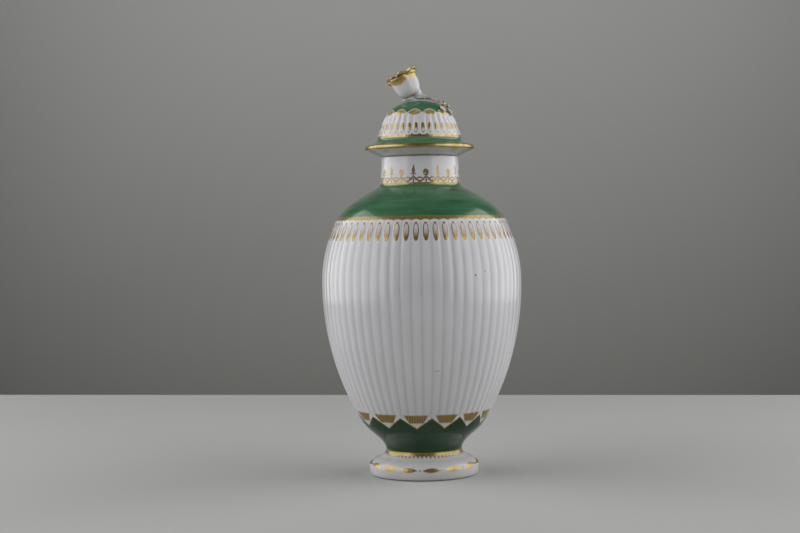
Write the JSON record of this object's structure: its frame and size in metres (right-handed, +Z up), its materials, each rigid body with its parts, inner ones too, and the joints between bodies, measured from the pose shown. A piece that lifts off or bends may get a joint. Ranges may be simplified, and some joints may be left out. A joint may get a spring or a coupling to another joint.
{
  "type": "tea canister",
  "caption": "Covered porcelain tea canister: a reeded ovoid jar on a turned foot, with a narrow neck and a lift-off domed cover whose knop is a leaning flower on its stem.",
  "frame": {"origin": "centre of the foot ring's resting plane, on the axis of the vessel", "axes": "+Z up along the axis of the vessel; -Y towards the viewer of the picture; the flower leans towards -X and its sprig lies towards +X"},
  "size_m": [0.081, 0.081, 0.1664],
  "materials": {
    "glazed_porcelain": "clear glossy glaze over white porcelain, with green enamel bands and burnished gilding",
    "gilt_edged_porcelain": "clear glossy glaze over white porcelain, with gilded tips",
    "tinted_porcelain": "clear glossy glaze over pale painted porcelain, touched with gilding",
    "gilded_porcelain": "burnished gilding on glazed porcelain, worn to white on the upper side"
  },
  "bodies": {
    "vessel": {"body_vessel": "glazed_porcelain", "pedestal_foot": "glazed_porcelain"},
    "cover": {"cover_shell": "glazed_porcelain", "cover_locating_flange": "glazed_porcelain", "finial_stem": "glazed_porcelain", "petal_outer_1": "gilt_edged_porcelain", "petal_outer_2": "gilt_edged_porcelain", "petal_outer_3": "gilt_edged_porcelain", "petal_outer_4": "gilt_edged_porcelain", "petal_inner_1": "gilt_edged_porcelain", "petal_inner_2": "gilt_edged_porcelain", "petal_inner_3": "gilt_edged_porcelain", "petal_inner_4": "gilt_edged_porcelain", "flower_centre": "tinted_porcelain", "leaf_under_flower_left": "tinted_porcelain", "leaf_under_flower_front": "tinted_porcelain", "leaf_slender": "tinted_porcelain", "leaf_sprig_front": "tinted_porcelain", "leaf_sprig_outer": "tinted_porcelain", "bud_upper": "gilded_porcelain", "bud_front": "gilded_porcelain", "bud_outer": "gilded_porcelain"}
  },
  "joints": [
    {"name": "cover_lift", "type": "slide", "parent": "vessel", "child": "cover", "axis": [0, 0, 1], "range_m": [0, 0.04]}
  ]
}
